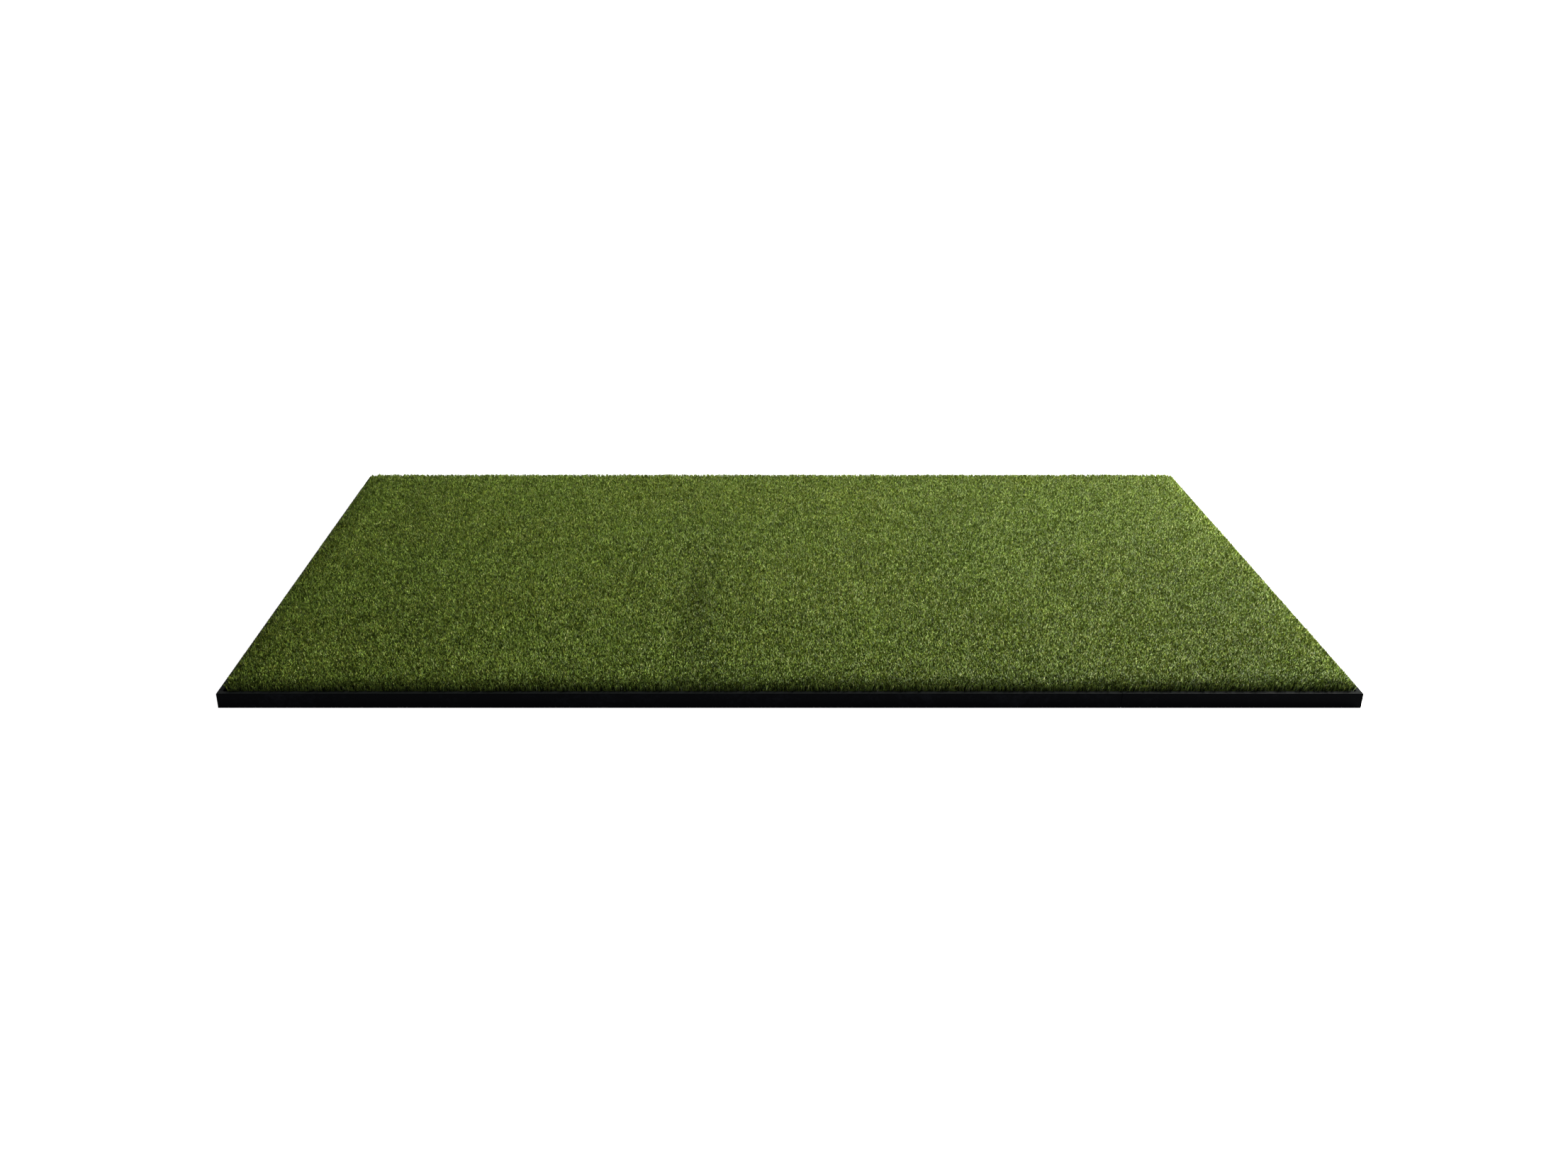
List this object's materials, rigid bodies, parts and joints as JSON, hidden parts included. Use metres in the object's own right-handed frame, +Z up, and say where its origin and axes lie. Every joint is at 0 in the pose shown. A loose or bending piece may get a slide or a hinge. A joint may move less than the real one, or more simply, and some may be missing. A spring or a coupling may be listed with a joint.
{
  "type": "golf hitting mat",
  "caption": "Wide rectangular practice mat: dense green turf on a foam pad, dropped into a shallow black tray of square edging.",
  "frame": {"origin": "centre of the footprint at floor level, under the middle of the base sheet", "axes": "+X along the mat's length, to the right as seen from the front long side; +Y from the front long side to the rear one; +Z up"},
  "size_m": [2.134, 1.219, 0.043],
  "materials": {
    "edging_plastic": "satin",
    "key_plastic": "matte",
    "base_rubber": "matte",
    "foam": "matte",
    "backing_coat": "satin",
    "backing_weave": "matte",
    "pile": "matte"
  },
  "bodies": {
    "tray": {"base_sheet": "base_rubber", "front_edging_long": "edging_plastic", "front_edging_short": "edging_plastic", "right_edging": "edging_plastic", "rear_edging_long": "edging_plastic", "rear_edging_short": "edging_plastic", "left_edging": "edging_plastic", "corner_key_front_left": "key_plastic", "corner_key_front_right": "key_plastic", "corner_key_rear_right": "key_plastic", "corner_key_rear_left": "key_plastic", "splice_key_front": "key_plastic", "splice_key_rear": "key_plastic"},
    "turf_panel": {"foam_pad": "foam", "secondary_backing": "backing_coat", "primary_backing": "backing_weave", "turf_pile": "pile"}
  },
  "joints": [
    {"name": "turf_panel_lift", "type": "slide", "parent": "tray", "child": "turf_panel", "axis": [0, 0, 1], "range_m": [0, 0.06]}
  ]
}
